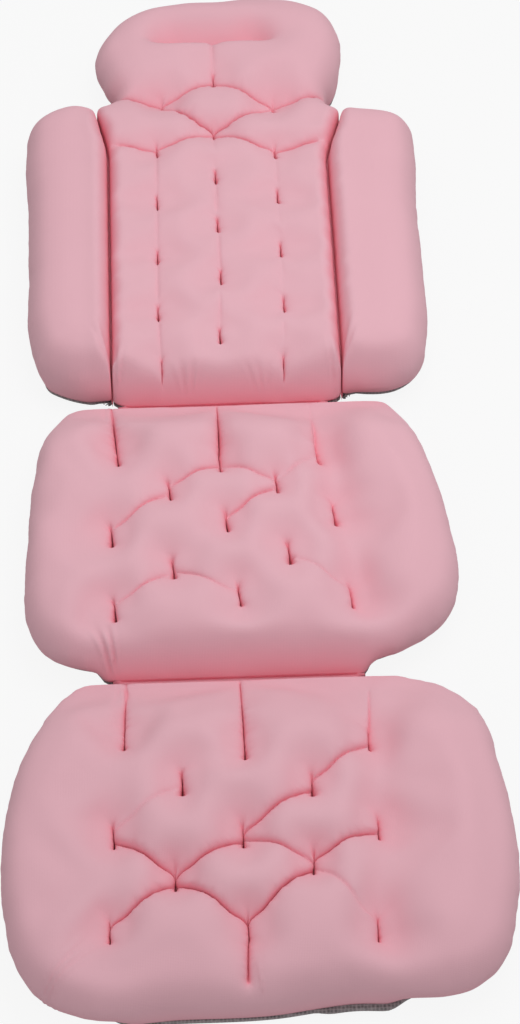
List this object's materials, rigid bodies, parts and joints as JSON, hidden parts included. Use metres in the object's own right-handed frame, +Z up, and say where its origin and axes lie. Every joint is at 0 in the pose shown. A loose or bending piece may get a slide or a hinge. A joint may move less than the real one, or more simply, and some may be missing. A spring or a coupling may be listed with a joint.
{
  "type": "bath pillow",
  "caption": "Full-length tufted bath pillow of head, back, seat and leg cushions with side bolsters, folding at sewn seams over a mesh back, held to the tub by suction cups.",
  "frame": {"origin": "on the tub's surface under the middle of the pillow, at the plane of the suction cups' rims", "axes": "+Y towards the head end, +X to the right seen from the foot end, +Z up out of the tufted side"},
  "size_m": [0.418, 1.14, 0.075],
  "materials": {
    "cover_knit": "smooth matt pink stretch knit",
    "fibre_fill": "loose white fibre",
    "back_mesh": "dark grey open spacer mesh",
    "cup_plastic": "clear soft plastic"
  },
  "bodies": {
    "back": {"back_cover": "cover_knit", "back_fill": "fibre_fill", "back_mesh": "back_mesh", "back_suction_cup_1": "cup_plastic", "back_suction_cup_2": "cup_plastic", "back_suction_cup_3": "cup_plastic", "back_suction_cup_4": "cup_plastic"},
    "head": {"head_cover": "cover_knit", "head_fill": "fibre_fill", "head_mesh": "back_mesh", "head_suction_cup_1": "cup_plastic", "head_suction_cup_2": "cup_plastic"},
    "left_bolster": {"left_bolster_cover": "cover_knit", "left_bolster_fill": "fibre_fill", "left_bolster_mesh": "back_mesh", "left_bolster_suction_cup_1": "cup_plastic", "left_bolster_suction_cup_2": "cup_plastic"},
    "right_bolster": {"right_bolster_cover": "cover_knit", "right_bolster_fill": "fibre_fill", "right_bolster_mesh": "back_mesh", "right_bolster_suction_cup_1": "cup_plastic", "right_bolster_suction_cup_2": "cup_plastic"},
    "seat": {"seat_cover": "cover_knit", "seat_fill": "fibre_fill", "seat_mesh": "back_mesh", "seat_suction_cup_1": "cup_plastic", "seat_suction_cup_2": "cup_plastic", "seat_suction_cup_3": "cup_plastic", "seat_suction_cup_4": "cup_plastic"},
    "leg": {"leg_cover": "cover_knit", "leg_fill": "fibre_fill", "leg_mesh": "back_mesh", "leg_suction_cup_1": "cup_plastic", "leg_suction_cup_2": "cup_plastic", "leg_suction_cup_3": "cup_plastic", "leg_suction_cup_4": "cup_plastic"}
  },
  "joints": [
    {"name": "neck_fold", "type": "hinge", "parent": "back", "child": "head", "pos_m": [0, 0.44, 0.0105], "axis": [1, 0, 0], "range_deg": [-90, 45]},
    {"name": "hip_fold", "type": "hinge", "parent": "back", "child": "seat", "pos_m": [0, 0.065, 0.0105], "axis": [-1, 0, 0], "range_deg": [-90, 45]},
    {"name": "knee_fold", "type": "hinge", "parent": "seat", "child": "leg", "pos_m": [0, -0.24, 0.0105], "axis": [-1, 0, 0], "range_deg": [-90, 45]},
    {"name": "left_bolster_fold", "type": "hinge", "parent": "back", "child": "left_bolster", "pos_m": [-0.106, 0.2525, 0.0105], "axis": [0, 1, 0], "range_deg": [-45, 6]},
    {"name": "right_bolster_fold", "type": "hinge", "parent": "back", "child": "right_bolster", "pos_m": [0.106, 0.2525, 0.0105], "axis": [0, -1, 0], "range_deg": [-45, 6]}
  ]
}
